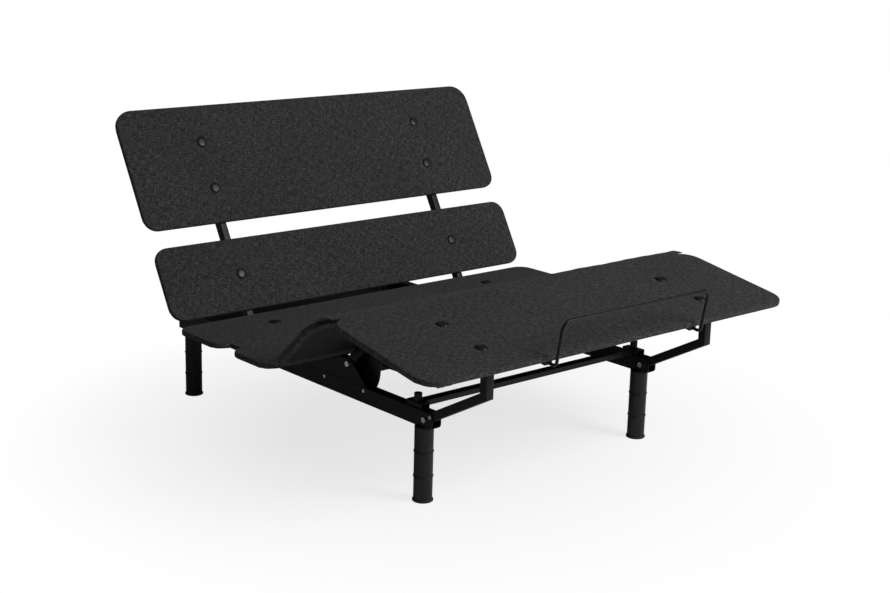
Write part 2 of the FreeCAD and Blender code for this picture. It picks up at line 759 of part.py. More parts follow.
QUADRANT_X = "rail_offset - rail_width / 2 - quadrant_gap - hinge_plate"
quadrants = []
for side in SIDES.values():
    x = across(side, QUADRANT_X, "hinge_plate")
    sector = rod("quadrant_radius", "hinge_plate", (x, "0", "0"))
    bind(sector, Angle="quadrant_sweep")
    sector.Placement = FreeCAD.Placement(
        V(), FreeCAD.Rotation(X_AXIS, -90 - val("quadrant_start")) * FreeCAD.Rotation(V(0, 1, 0), 90)
    )
    seat(sector, x, "0", "0")
    strip = box(("hinge_plate", "quadrant_strip", f"{TUBE_TOP} + section_cross_tube / 2"),
                (x, "-quadrant_strip", "-section_cross_tube / 2"))
    spacer_width = f"rail_offset - fixed_tube_width / 2 - ({QUADRANT_X}) - hinge_plate"
    spacer = box(
        (spacer_width, "quadrant_strip - gusset_foot_reach - riser_length", "section_tube_height / 2"),
        (across(side, f"{QUADRANT_X} + hinge_plate", spacer_width), "-quadrant_strip",
         "-section_tube_height / 4"),
    )
    quadrants.append(fuse(sector, strip, spacer))
node("thigh_quadrants", group(*quadrants), "thigh_section")
node(
    "thigh_cross_tube",
    tube("section_cross_tube", "section_cross_tube", "cross_wall", f"2 * ({QUADRANT_X})",
         (f"-({QUADRANT_X})", "-thigh_cross_place", "section_cross_rise"), along="X"),
    "thigh_section",
)
node(
    "thigh_lift_lever",
    lever(KNEE_SIDE, KNEE_SWING, "thigh_lever_radius", 1, "-thigh_cross_place", "slot_play_thigh"),
    "thigh_section",
)
knee_plates = []
knee_bolts = []
for side in SIDES.values():
    for inner in (
        "rail_offset + fixed_tube_width / 2",
        "rail_offset - fixed_tube_width / 2 - hinge_plate",
    ):
        tip = f"(-{THIGH_SPAN} - hinge_round)"
        root = f"(-{THIGH_SPAN} + fold_gap)"
        profile = [
            (root, TUBE_TOP),
            (f"{tip} + hinge_round / 2", TUBE_TOP),
            (tip, "hinge_round / 2"),
            (tip, "-hinge_round / 2"),
            (f"{tip} + hinge_round / 2", "-hinge_round"),
            (f"{root} - hinge_round", "-hinge_round"),
            (root, f"{TUBE_TOP} - section_tube_height"),
        ]
        offset = across(side, inner, "hinge_plate")
        hole = rod(HOLE, "hinge_plate * 3", (f"{offset} - hinge_plate", f"-{THIGH_SPAN}", "0"))
        knee_plates.append(cut(plate(profile, "hinge_plate", offset), hole))
    knee_bolts.append(
        pin(side, "rail_offset - fixed_tube_width / 2 - hinge_plate",
            "rail_offset + fixed_tube_width / 2 + hinge_plate", f"-{THIGH_SPAN}", "0", inner_head=True)
    )
node("knee_hinge_plates", group(*knee_plates), "thigh_section")
node("knee_bolts", group(*knee_bolts), "thigh_section")

# ---------------------------------------------------------------- leg section
leg_tubes = []
slide_plates = []
for side in SIDES.values():
    x = f"{side} * rail_offset"
    beam = tube("moving_tube_width", "section_tube_height", "cross_wall", "leg_tube_length + back_tube_end",
                (x, "-leg_tube_length", TUBE_MID))
    hole = rod(HOLE, "moving_tube_width * 2", (f"{x} - moving_tube_width", "0", "0"))
    leg_tubes.append(cut(beam, hole))
    for inner in (
        "rail_offset + moving_tube_width / 2",
        "rail_offset - moving_tube_width / 2 - hinge_plate",
    ):
        offset = across(side, inner, "hinge_plate")
        foot = "(-slide_pin_place - slide_plate_end)"
        blank = box(
            ("hinge_plate", f"-leg_tube_length + slide_plate_overlap - {foot}",
             f"{TUBE_TOP} + slide_plate_drop"),
            (offset, foot, "-slide_plate_drop"),
        )
        slot_half = "(pin_radius + slide_play)"
        slot = box(
            ("hinge_plate * 3", f"slide_travel + 2 * {slot_half}", f"slide_sag + 2 * {slot_half}"),
            (f"{offset} - hinge_plate", f"-slide_pin_place - {slot_half}",
             f"pivot_drop - slide_pin_drop - slide_sag - {slot_half}"),
        )
        slide_plates.append(cut(blank, slot))
leg_tubes.append(
    tube("section_cross_tube", "section_cross_tube", "cross_wall", f"2 * ({SECTION_X})",
         (f"-({SECTION_X})", "-leg_tube_length / 2", "section_cross_rise"), along="X")
)
node("leg_tubes", group(*leg_tubes), "leg_section")
node("slide_plates", group(*slide_plates), "leg_section")


def bent_bar(points, bends, radius):
    """A round bar along straight runs joined by tangent arcs."""
    edges = []
    start = points[0]
    for i in range(1, len(points) - 1):
        back = (points[i - 1] - points[i]).normalize()
        onward = (points[i + 1] - points[i]).normalize()
        half_turn = back.getAngle(onward) / 2
        reach = bends[i - 1] / math.tan(half_turn)
        first = points[i] + back * reach
        last = points[i] + onward * reach
        bisector = (back + onward).normalize()
        centre = points[i] + bisector * (bends[i - 1] / math.sin(half_turn))
        middle = centre - bisector * bends[i - 1]
        edges.append(Part.LineSegment(start, first).toShape())
        edges.append(Part.Arc(first, middle, last).toShape())
        start = last
    edges.append(Part.LineSegment(start, points[-1]).toShape())
    path = Part.Wire(edges)
    ring = Part.Wire([Part.Circle(points[0], points[1] - points[0], radius).toShape()])
    return path.makePipeShell([ring], True, False)


bar_low = val(f"{TUBE_TOP} - bar_floor")
bar_high = val("pivot_drop + bar_rise")
bar_foot = val(f"{LEG_END} - bar_stand_off")
bar_start = val(f"{LEG_END} + bar_tail")
reach = val("bar_reach")
bar_points = [
    V(-reach, bar_start, bar_low), V(-reach, bar_foot, bar_low), V(-reach, bar_foot, bar_high),
    V(reach, bar_foot, bar_high), V(reach, bar_foot, bar_low), V(reach, bar_start, bar_low),
]
bar_bends = [val("bar_foot_bend"), val("bar_bend"), val("bar_bend"), val("bar_foot_bend")]
retainer = doc.addObject("Part::Feature", "retainer")
retainer.Shape = bent_bar(bar_points, bar_bends, val("bar_radius"))
node("retainer_bar", retainer, "leg_section")
clips = []
for side in SIDES.values():
    x = f"{side} * bar_reach"
    block = box(("clip_width", "clip_length", "clip_height"),
                (f"{x} - clip_width / 2", f"{LEG_END} + cover_margin / 4", f"{TUBE_TOP} - clip_height"))
    hole = rod("bar_radius + pin_clearance", "clip_length * 3",
               (x, f"{LEG_END} - clip_length", f"{TUBE_TOP} - bar_floor"), along="Y")
    clips.append(cut(block, hole))
node("retainer_clips", group(*clips), "leg_section")

# ---------------------------------------------------------------- foot arms
def arm_spot(run, rise):
    """A point `run` along the sloping arm from its pivot and `rise` above its middle line."""
    return (
        f"-arm_pivot_place - ({run}) * cos(arm_angle) + ({rise}) * sin(arm_angle)",
        f"{ARM_Z} + ({run}) * sin(arm_angle) + ({rise}) * cos(arm_angle)",
    )


def arm_profile(inset, root, top):
    """The bent arm's outline, drawn in from its outer faces by `inset`."""
    rise = f"(arm_depth / 2 - {inset})"
    foot_face = f"(arm_post_reach + arm_width / 2 - {inset})"
    head_face = f"(arm_post_reach - arm_width / 2 + {inset})"
    low_run = f"(({foot_face} - {rise} * sin(arm_angle)) / cos(arm_angle))"
    high_run = f"(({head_face} + {rise} * sin(arm_angle)) / cos(arm_angle))"
    return [
        arm_spot(root, f"-{rise}"),
        arm_spot(low_run, f"-{rise}"),
        (f"-arm_pivot_place - {foot_face}", top),
        (f"-arm_pivot_place - {head_face}", top),
        arm_spot(high_run, rise),
        arm_spot(root, rise),
    ]


SLIDE_Y = (
    f"({KNEE_Y} - {THIGH_SPAN} * cos(thigh_angle) - slide_pin_place * cos(leg_fall)"
    " - (pivot_drop - slide_pin_drop) * sin(leg_fall))"
)
SLIDE_Z = (
    f"({PIVOT_Z} + {THIGH_SPAN} * sin(thigh_angle) - slide_pin_place * sin(leg_fall)"
    " + (pivot_drop - slide_pin_drop) * cos(leg_fall))"
)
for name, side in SIDES.items():
    top = f"{SLIDE_Z} - arm_lug_drop"
    x = f"{side} * rail_offset"
    outer = plate(arm_profile("0", "-arm_root", top), "arm_width", f"{x} - arm_width / 2")
    inner_width = "arm_width - 2 * arm_wall"
    inner = plate(arm_profile("arm_wall", "-arm_root * 2", f"{top} + arm_wall"), inner_width,
                  f"{x} - ({inner_width}) / 2")
    lug_foot = f"-arm_pivot_place - arm_post_reach - arm_width / 2 + arm_wall"
    lug_profile = [
        (lug_foot, f"{top} - arm_lug_radius"),
        ("-arm_pivot_place - arm_post_reach + arm_width / 2 - arm_wall", f"{top} - arm_lug_radius"),
        (f"{SLIDE_Y} + arm_lug_radius", f"{top} + arm_wall"),
        (f"{SLIDE_Y} + arm_lug_radius", SLIDE_Z),
        (f"{SLIDE_Y} - arm_lug_radius", SLIDE_Z),
        (lug_foot, f"{top} + arm_wall"),
    ]
    lug = plate(lug_profile, "arm_lug_width", f"{x} - arm_lug_width / 2")
    eye = rod("arm_lug_radius", "arm_lug_width", (f"{x} - arm_lug_width / 2", SLIDE_Y, SLIDE_Z))
    pin_span = "moving_tube_width + 2 * hinge_plate"
    slide_pin = rod("pin_radius", pin_span, (f"{x} - ({pin_span}) / 2", SLIDE_Y, SLIDE_Z))
    hole = rod(HOLE, "arm_width * 2", (f"{x} - arm_width", "-arm_pivot_place", ARM_Z))
    node(f"foot_arm_{name}", cut(fuse(cut(outer, inner), lug, eye, slide_pin), hole), f"foot_arm_{name}")

# ---------------------------------------------------------------- actuators
ACTUATORS = {
    "head": (HEAD_SIDE, HEAD_ANCHOR_Y, "head_actuator_length", "head_guide_length", "head_rod_length",
             "back_lever_radius", HEAD_SWING, "back_pivot_inset", 1),
    "knee": (KNEE_SIDE, KNEE_ANCHOR_Y, "knee_actuator_length", "knee_guide_length", "knee_rod_length",
             "thigh_lever_radius", KNEE_SWING, KNEE_Y, -1),
}
for name, (side, anchor_y, closed, guide_length, rod_length, radius, swing, pivot_y, heading) in ACTUATORS.items():
    x = f"{side} * actuator_offset"
    eye_y = f"({pivot_y} + {heading} * {radius} * sin({swing}))"
    eye_z = f"({PIVOT_Z} - {radius} * cos({swing}))"

    def along(distance, length):
        """Low y of something `length` long that starts `distance` out from the anchor."""
        return f"{anchor_y} + {heading} * ({distance})" + (f" - ({length})" if heading < 0 else "")

    box_start = "gearbox_setback"
    gearbox = box(("gearbox_width", "gearbox_length", "gearbox_height"),
                  (f"{x} - gearbox_width / 2", along(box_start, "gearbox_length"),
                   "actuator_height - gearbox_height / 2"))
    ear = box(("rod_eye_width", f"{box_start} + rod_eye_radius", "2 * rod_eye_radius"),
              (f"{x} - rod_eye_width / 2", along("-rod_eye_radius", f"{box_start} + rod_eye_radius"),
               "actuator_height - rod_eye_radius"))
    ear_hole = rod(HOLE, "rod_eye_width * 2", (f"{x} - rod_eye_width", anchor_y, "actuator_height"))
    front = "gearbox_setback + gearbox_length"
    guide_run = f"{guide_length} - ({front})"
    guide = rod("guide_radius", guide_run, (x, along(front, guide_run), "actuator_height"), along="Y")
    bore = rod("rod_radius + rod_fit", guide_run, (x, along(front, guide_run), "actuator_height"), along="Y")
    motor_x = f"{x} - {side} * (guide_radius + motor_radius + rod_fit)"
    motor = rod("motor_radius", "motor_length",
                (motor_x, along(front, "motor_length"), "actuator_height"), along="Y")
    shelf = box(("2 * motor_radius", "gearbox_length", "2 * motor_radius"),
                (f"{motor_x} - motor_radius", along(box_start, "gearbox_length"),
                 "actuator_height - motor_radius"))
    body = cut(fuse(gearbox, ear, shelf), ear_hole)
    node(f"{name}_actuator", group(body, cut(guide, bore), motor), f"{name}_actuator")
    open_length = f"(sqrt(pow({eye_y} - {anchor_y}; 2) + pow({eye_z} - actuator_height; 2)))"
    stem = rod("rod_radius", rod_length,
               (x, along(f"{open_length} - {rod_length}", rod_length), "actuator_height"), along="Y")
    eye_spot = along(open_length, "0")
    eye = rod("rod_eye_radius", "rod_eye_width", (f"{x} - rod_eye_width / 2", eye_spot, "actuator_height"))
    pin_span = "lever_gap + 2 * lever_plate"
    eye_pin = rod("pin_radius", pin_span, (f"{x} - ({pin_span}) / 2", eye_spot, "actuator_height"))
    node(f"{name}_actuator_rod", fuse(stem, eye, eye_pin), f"{name}_actuator")

# ---------------------------------------------------------------- cloth across the two folds
def strip(profile):
    """A strip of cloth across the bed from the (y, z) corners of its edge."""
    half = val("deck_width / 2 - corner_radius")
    corners = [V(-half, val(y), val(z)) for y, z in profile]
    face = Part.Face(Part.makePolygon(corners + corners[:1]))
    item = doc.addObject("Part::Feature", "cloth")
    item.Shape = face.extrude(V(2 * half, 0, 0))
    return item


def turned(y, z, pivot, angle):
    """A section's own (y, z) point in the fixed frame, with the section turned by `angle`."""
    return (
        f"{pivot[0]} + ({y}) * cos({angle}) - ({z}) * sin({angle})",
        f"{pivot[1]} + ({y}) * sin({angle}) + ({z}) * cos({angle})",
    )


THIGH_PIVOT = (KNEE_Y, PIVOT_Z)
KNEE_PIVOT = (f"({KNEE_Y} - {THIGH_SPAN} * cos(thigh_angle))", f"({PIVOT_Z} + {THIGH_SPAN} * sin(thigh_angle))")
gap = "cloth / 4"
hip_edge = (f"{HIP_FOOT} - {gap}", "deck_top")
hip_under = (f"{HIP_FOOT} - {gap}", "deck_top - cloth")
thigh_edge = turned("-fold_gap / 2", "pivot_drop", THIGH_PIVOT, "(-thigh_angle)")
thigh_under = turned("-fold_gap / 2", "pivot_drop - cloth", THIGH_PIVOT, "(-thigh_angle)")
dip = (f"{KNEE_Y} + fold_gap / 4", "deck_top - fold_cloth_dip")
dip_under = (f"{KNEE_Y} + fold_gap / 4", "deck_top - fold_cloth_dip - cloth")
node("thigh_fold_cloth", strip([hip_edge, dip, thigh_edge, thigh_under, dip_under, hip_under]), "cloth")
knee_edge = turned(f"-{THIGH_SPAN} + fold_gap / 2", "pivot_drop", THIGH_PIVOT, "(-thigh_angle)")
knee_under = turned(f"-{THIGH_SPAN} + fold_gap / 2 - {gap}", "pivot_drop - cloth", THIGH_PIVOT, "(-thigh_angle)")
leg_edge = turned("-fold_gap / 2", "pivot_drop", KNEE_PIVOT, "leg_fall")
leg_under = turned(f"-fold_gap / 2 + {gap}", "pivot_drop - cloth", KNEE_PIVOT, "leg_fall")
crest = turned("back_tube_end", f"{TUBE_TOP} + fold_cloth_rise", KNEE_PIVOT, "leg_fall")
crest_under = turned("back_tube_end", f"{TUBE_TOP} + fold_cloth_rise - cloth", KNEE_PIVOT, "leg_fall")
node("knee_fold_cloth", strip([knee_edge, crest, leg_edge, leg_under, crest_under, knee_under]), "cloth")

# ---------------------------------------------------------------- raise the sections and set them down
doc.recompute()


def placed(y, z, degrees):
    return FreeCAD.Placement(V(0, val(y), val(z)), FreeCAD.Rotation(X_AXIS, degrees))


def tilt(anchor, eye):
    return math.degrees(math.atan2(eye[1] - anchor[1], abs(eye[0] - anchor[0])))


FRAMES = {
    "base": FreeCAD.Placement(),
    "cloth": FreeCAD.Placement(),
    "foot_arm_left": FreeCAD.Placement(),
    "foot_arm_right": FreeCAD.Placement(),
    "back_section": placed("back_pivot_inset", PIVOT_Z, val("back_angle")),
    "thigh_section": placed(*THIGH_PIVOT, -val("thigh_angle")),
    "leg_section": placed(*KNEE_PIVOT, val("leg_fall")),
}
for name, (side, anchor_y, closed, guide_length, rod_length, radius, swing, pivot_y, heading) in ACTUATORS.items():
    anchor = (val(anchor_y), val("actuator_height"))
    eye = (val(f"{pivot_y} + {heading} * {radius} * sin({swing})"), val(f"{PIVOT_Z} - {radius} * cos({swing})"))
    spot = V(0, *anchor)
    FRAMES[f"{name}_actuator"] = FreeCAD.Placement(
        V(), FreeCAD.Rotation(X_AXIS, heading * tilt(anchor, eye)), spot
    )

for item, frame in nodes.values():
    item.Placement = FRAMES[frame] * item.Placement
doc.recompute()
whole = FreeCAD.BoundBox()
for item, frame in nodes.values():
    whole.add(item.Shape.BoundBox)
to_centre = FreeCAD.Placement(V(-whole.Center.x, -whole.Center.y, -whole.ZMin), FreeCAD.Rotation())
for item, frame in nodes.values():
    item.Placement = to_centre * item.Placement
doc.recompute()

# ---------------------------------------------------------------- check and write
for item in doc.Objects:
    if "Invalid" in item.State or "Error" in item.State:
        raise RuntimeError(f"{item.Label} failed: {item.State}")
os.makedirs("parts", exist_ok=True)
for label, (item, frame) in nodes.items():
    shape = item.Shape
    if shape.isNull() or not shape.isValid() or not shape.Solids:
        raise RuntimeError(f"{label} has no valid solid")
    shape.exportStep(f"parts/{label}.step")
print(len(nodes), "nodes, box", whole.XLength, whole.YLength, whole.ZLength, "shift", -whole.Center.y)
for label, (y, z) in {
    "back_pivot": ("back_pivot_inset", PIVOT_Z), "thigh_pivot": THIGH_PIVOT, "knee_pivot": KNEE_PIVOT,
    "arm_pivot": ("-arm_pivot_place", ARM_Z), "slide_pin": (SLIDE_Y, SLIDE_Z),
    "head_anchor": (HEAD_ANCHOR_Y, "actuator_height"), "knee_anchor": (KNEE_ANCHOR_Y, "actuator_height"),
}.items():
    print(label, round(val(y) - whole.Center.y, 4), round(val(z) - whole.ZMin, 4))
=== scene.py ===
"""Looks of an adjustable bed base: cloth covered panels on a black steel frame with stacked legs."""
import json
import math

import bmesh
import bpy
import numpy as np
from mathutils import Matrix, Vector


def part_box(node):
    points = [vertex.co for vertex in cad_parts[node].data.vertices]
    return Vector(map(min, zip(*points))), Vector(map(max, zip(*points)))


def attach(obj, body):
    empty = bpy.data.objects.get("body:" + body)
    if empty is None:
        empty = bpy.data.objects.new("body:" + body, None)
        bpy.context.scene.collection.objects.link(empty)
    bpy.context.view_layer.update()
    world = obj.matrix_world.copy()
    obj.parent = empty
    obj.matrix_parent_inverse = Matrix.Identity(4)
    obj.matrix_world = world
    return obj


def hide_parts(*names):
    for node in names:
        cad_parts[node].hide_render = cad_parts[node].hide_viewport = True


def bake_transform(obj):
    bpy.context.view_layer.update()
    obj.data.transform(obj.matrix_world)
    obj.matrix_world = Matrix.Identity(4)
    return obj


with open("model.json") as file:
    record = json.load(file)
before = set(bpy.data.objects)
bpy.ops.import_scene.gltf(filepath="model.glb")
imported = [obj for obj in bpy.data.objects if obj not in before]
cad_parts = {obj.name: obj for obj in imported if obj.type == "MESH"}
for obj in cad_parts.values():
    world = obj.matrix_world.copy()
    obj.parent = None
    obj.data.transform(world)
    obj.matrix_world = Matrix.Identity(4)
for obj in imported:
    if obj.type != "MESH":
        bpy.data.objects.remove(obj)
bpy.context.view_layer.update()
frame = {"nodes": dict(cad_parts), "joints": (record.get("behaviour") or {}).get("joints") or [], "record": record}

MM = 0.001
CLOTH_DARK, CLOTH_MID, CLOTH_LIGHT = "#1f1f20", "#323233", "#4c4c4e"

# ---------------------------------------------------------------- camera
EYE = np.array([-3.23156, -3.68803, 1.71230])
EYE_TURN = math.radians(-41.29)
EYE_RISE = math.radians(14.42)
EYE_ROLL = math.radians(1.50)
EYE_LENS = 62.68


def add_camera():
    """A camera whose back axis has the azimuth and elevation above, rolled about that axis."""
    back = np.array([
        math.sin(EYE_TURN) * math.cos(EYE_RISE),
        -math.cos(EYE_TURN) * math.cos(EYE_RISE),
        math.sin(EYE_RISE),
    ])
    level = np.cross([0, 0, 1], back)
    level /= np.linalg.norm(level)
    upright = np.cross(back, level)
    right = math.cos(EYE_ROLL) * level + math.sin(EYE_ROLL) * upright
    up = math.cos(EYE_ROLL) * upright - math.sin(EYE_ROLL) * level
    data = bpy.data.cameras.new("camera")
    data.lens = EYE_LENS
    data.sensor_width = 36
    data.clip_start, data.clip_end = 0.1, 200
    eye = bpy.data.objects.new("camera", data)
    place = np.eye(4)
    place[:3, :3] = np.stack([right, up, back], axis=1)
    place[:3, 3] = EYE
    eye.matrix_world = Matrix(place)
    bpy.context.scene.collection.objects.link(eye)
    bpy.context.scene.camera = eye


# ---------------------------------------------------------------- colour and nodes
def srgb(code):
    """A linear RGBA colour from an sRGB hex code."""
    part = np.array([int(code[i:i + 2], 16) for i in (1, 3, 5)]) / 255
    linear = np.where(part <= 0.04045, part / 12.92, ((part + 0.055) / 1.055) ** 2.4)
    return (*linear, 1.0)


def add(tree, kind, settings=None, inputs=None, out=0):
    """Adds a node, sets it, sets or links its inputs, and gives back one of its outputs.

    A text value on an input is a hex colour.  The setting `stops` is a colour ramp's list of
    (position, hex colour or grey level).
    """
    node = tree.nodes.new("ShaderNode" + kind)
    for name, value in (settings or {}).items():
        if name != "stops":
            setattr(node, name, value)
            continue
        marks = node.color_ramp.elements
        while len(marks) < len(value):
            marks.new(0.5)
        for mark, (position, shade) in zip(marks, value):
            mark.position = position
            mark.color = srgb(shade) if isinstance(shade, str) else (shade, shade, shade, 1)
    for name, value in (inputs or {}).items():
        if isinstance(value, bpy.types.NodeSocket):
            tree.links.new(value, node.inputs[name])
        else:
            node.inputs[name].default_value = srgb(value) if isinstance(value, str) else value
    return node.outputs[out]


def blank(name):
    """An empty material with its node tree and main shader."""
    material = bpy.data.materials.new(name)
    material.use_nodes = True
    tree = material.node_tree
    return material, tree, tree.nodes["Principled BSDF"]


def coat(tree, shader, links, **numbers):
    """Links patterns to the main shader's sockets and sets its even numbers."""
    for name, value in links.items():
        tree.links.new(value, shader.inputs[name])
    for name, value in numbers.items():
        shader.inputs[name.replace("_", " ")].default_value = value


def grain(tree, place, size, detail=3.0, roughness=0.5, stretch=(1, 1, 1)):
    """A pattern of patches about `size` metres long, drawn out along the axes by `stretch`."""
    mapped = add(tree, "Mapping", None, {"Vector": place, "Scale": tuple(1 / s for s in stretch)})
    return add(tree, "TexNoise", None, {
        "Vector": mapped, "Scale": 1 / size, "Detail": detail, "Roughness": roughness,
    })


# ---------------------------------------------------------------- finishes
THREAD = 5.2 * MM      # pitch of the basket weave, drawn about twice as coarse as real so that it shows


def woven_polyester():
    """Charcoal upholstery cloth: a basket weave of two-tone yarns with slubs; dry, a little sheen.

    Warp and weft are sine ribs at right angles along the cloth's own cut; where their product is
    high a warp yarn lies on top, where it is low a weft yarn does.
    """
    material, tree, shader = blank("woven_polyester_charcoal")
    cloth = add(tree, "UVMap", {"uv_map": "cut"}, out="UV")
    ribs = []
    for side in (0, 1):
        run = add(tree, "SeparateXYZ", None, {"Vector": cloth}, out=side)
        turn = add(tree, "Math", {"operation": "MULTIPLY"}, {0: run, 1: 2 * math.pi / THREAD})
        drift = grain(tree, cloth, 60 * MM, 1.0)
        wander = add(tree, "Math", {"operation": "MULTIPLY"}, {0: drift, 1: 1.6})
        angle = add(tree, "Math", {"operation": "ADD"}, {0: turn, 1: wander})
        ribs.append(add(tree, "Math", {"operation": "SINE"}, {0: angle}))
    over = add(tree, "Math", {"operation": "MULTIPLY"}, {0: ribs[0], 1: ribs[1]})
    halved = add(tree, "Math", {"operation": "MULTIPLY"}, {0: over, 1: 0.5})
    height = add(tree, "Math", {"operation": "ADD"}, {0: halved, 1: 0.5})
    slub_up = grain(tree, cloth, 4.5 * MM, 2.0, 0.6, (0.6, 4.5, 1))
    slub_across = grain(tree, cloth, 4.5 * MM, 2.0, 0.6, (4.5, 0.6, 1))
    slubs = add(tree, "Mix", {"data_type": "RGBA"}, {0: height, 6: slub_up, 7: slub_across}, out=2)
    yarn = add(tree, "ValToRGB", {
        "stops": [(0.40, CLOTH_DARK), (0.5, CLOTH_MID), (0.60, CLOTH_LIGHT)],
    }, {"Fac": slubs})
    # Painted shade: the cloth colour is multiplied down where the weave's relief is low (to 0.62), and a little on
    # the raised yarns too (to 0.80).
    weave_painted_shade = add(tree, "ValToRGB", {"stops": [(0.0, 0.62), (0.5, 1.0), (1.0, 0.80)]}, {"Fac": height})
    patches = grain(tree, cloth, 260 * MM, 2.0)
    tone = add(tree, "ValToRGB", {"stops": [(0.35, 0.90), (0.65, 1.0)]}, {"Fac": patches})
    multiply = {"data_type": "RGBA", "blend_type": "MULTIPLY"}
    shaded = add(tree, "Mix", multiply, {0: 1.0, 6: yarn, 7: weave_painted_shade}, out=2)
    colour = add(tree, "Mix", multiply, {0: 1.0, 6: shaded, 7: tone}, out=2)
    relief = add(tree, "Bump", None, {"Height": height, "Distance": 0.5 * MM, "Strength": 0.5})
    coat(tree, shader, {"Base Color": colour, "Normal": relief}, Roughness=0.95,
         Specular_IOR_Level=0.12, Sheen_Weight=0.04, Sheen_Roughness=0.5)
    return material


def powder_coat(name, dark, light, gloss, peel=1.0):
    """Powder coated steel: an even black skin with fine orange peel, and small scattered patches rubbed a little
    paler.
    """
    material, tree, shader = blank(name)
    place = add(tree, "TexCoord", out="Object")
    cloudy = grain(tree, place, 120 * MM, 3.0)
    dusty = grain(tree, place, 9 * MM, 4.0, 0.65)
    body = add(tree, "ValToRGB", {"stops": [(0.3, dark), (0.7, light)]}, {"Fac": cloudy})
    rubbed = add(tree, "ValToRGB", {"stops": [(0.62, 0.0), (0.8, 0.25)]}, {"Fac": dusty})
    worn = add(tree, "Mix", {"data_type": "RGBA"}, {0: rubbed, 6: body, 7: "#222223"}, out=2)
    dull = add(tree, "ValToRGB", {"stops": [(0.3, gloss), (0.8, gloss + 0.12)]}, {"Fac": dusty})
    skin = grain(tree, place, 1.6 * MM, 2.0)
    relief = add(tree, "Bump", None, {"Height": skin, "Distance": 0.12 * MM * peel, "Strength": 0.35})
    coat(tree, shader, {"Base Color": worn, "Roughness": dull, "Normal": relief}, Specular_IOR_Level=0.22)
    return material


def moulded_nylon(name, shade, pale, gloss):
    """Moulded black plastic: fine spark-eroded texture, soft sheen, faint flow marks."""
    material, tree, shader = blank(name)
    place = add(tree, "TexCoord", out="Object")
    flow = grain(tree, place, 45 * MM, 2.5, 0.5, (1, 1, 3))
    body = add(tree, "ValToRGB", {"stops": [(0.35, shade), (0.7, pale)]}, {"Fac": flow})
    patchy = grain(tree, place, 14 * MM, 3.0)
    dull = add(tree, "ValToRGB", {"stops": [(0.3, gloss), (0.7, gloss + 0.1)]}, {"Fac": patchy})
    sparked = grain(tree, place, 0.9 * MM, 2.0)
    relief = add(tree, "Bump", None, {"Height": sparked, "Distance": 0.06 * MM, "Strength": 0.4})
    coat(tree, shader, {"Base Color": body, "Roughness": dull, "Normal": relief}, Specular_IOR_Level=0.3)
    return material


def zinc_plate():
    """Bright zinc plated steel: pale grey, faint blue cast, slight cloudiness from the bath."""
    material, tree, shader = blank("zinc_plated_steel")
    place = add(tree, "TexCoord", out="Object")
    cloudy = grain(tree, place, 4 * MM, 3.0)
    body = add(tree, "ValToRGB", {"stops": [(0.3, "#b9bfc6"), (0.7, "#e4e7ea")]}, {"Fac": cloudy})
    dull = add(tree, "ValToRGB", {"stops": [(0.3, 0.24), (0.7, 0.38)]}, {"Fac": cloudy})
    pitted = grain(tree, place, 1.2 * MM)
    relief = add(tree, "Bump", None, {"Height": pitted, "Distance": 0.04 * MM, "Strength": 0.3})
    coat(tree, shader, {"Base Color": body, "Roughness": dull, "Normal": relief}, Metallic=1.0)
    return material


def ground_rod():
    """Hard chromed push rod: mirror bright with fine rings left by grinding."""
    material, tree, shader = blank("hard_chromed_rod")
    place = add(tree, "TexCoord", out="Object")
    rings = grain(tree, place, 6 * MM, 2.0, 0.6, (4, 0.08, 4))
    body = add(tree, "ValToRGB", {"stops": [(0.3, "#a9adb1"), (0.7, "#d5d8da")]}, {"Fac": rings})
    dull = add(tree, "ValToRGB", {"stops": [(0.3, 0.14), (0.7, 0.26)]}, {"Fac": rings})
    relief = add(tree, "Bump", None, {"Height": rings, "Distance": 0.02 * MM, "Strength": 0.4})
    coat(tree, shader, {"Base Color": body, "Roughness": dull, "Normal": relief}, Metallic=1.0)
    return material


def black_faced_board():
    """Black resin faced plywood: near black with the long grain showing through the film; satin."""
    material, tree, shader = blank("black_faced_plywood")
    place = add(tree, "TexCoord", out="Object")
    figure = grain(tree, place, 30 * MM, 4.0, 0.55, (9, 1, 1))
    fibre = grain(tree, place, 3.0 * MM, 3.0, 0.6, (22, 1, 1))
    broad = add(tree, "Math", {"operation": "MULTIPLY"}, {0: figure, 1: 0.65})
    fine = add(tree, "Math", {"operation": "MULTIPLY"}, {0: fibre, 1: 0.35})
    both = add(tree, "Math", {"operation": "ADD"}, {0: broad, 1: fine})
    body = add(tree, "ValToRGB", {
        "stops": [(0.36, "#0c0c0c"), (0.5, "#141413"), (0.64, "#1f1e1d")],
    }, {"Fac": both})
    dull = add(tree, "ValToRGB", {"stops": [(0.3, 0.5), (0.7, 0.66)]}, {"Fac": figure})
    relief = add(tree, "Bump", None, {"Height": fibre, "Distance": 0.2 * MM, "Strength": 0.4})
    coat(tree, shader, {"Base Color": body, "Roughness": dull, "Normal": relief}, Specular_IOR_Level=0.3)
    return material


def moulded_rubber():
    """Matt black rubber: dull, faintly dusty, fine mould texture."""
    material, tree, shader = blank("moulded_rubber_black")
    place = add(tree, "TexCoord", out="Object")
    dust = grain(tree, place, 11 * MM, 4.0, 0.6)
    body = add(tree, "ValToRGB", {"stops": [(0.35, "#141414"), (0.75, "#262626")]}, {"Fac": dust})
    dull = add(tree, "ValToRGB", {"stops": [(0.3, 0.68), (0.7, 0.84)]}, {"Fac": dust})
    mould = grain(tree, place, 1.1 * MM, 2.0)
    relief = add(tree, "Bump", None, {"Height": mould, "Distance": 0.1 * MM, "Strength": 0.4})
    coat(tree, shader, {"Base Color": body, "Roughness": dull, "Normal": relief}, Specular_IOR_Level=0.3)
    return material


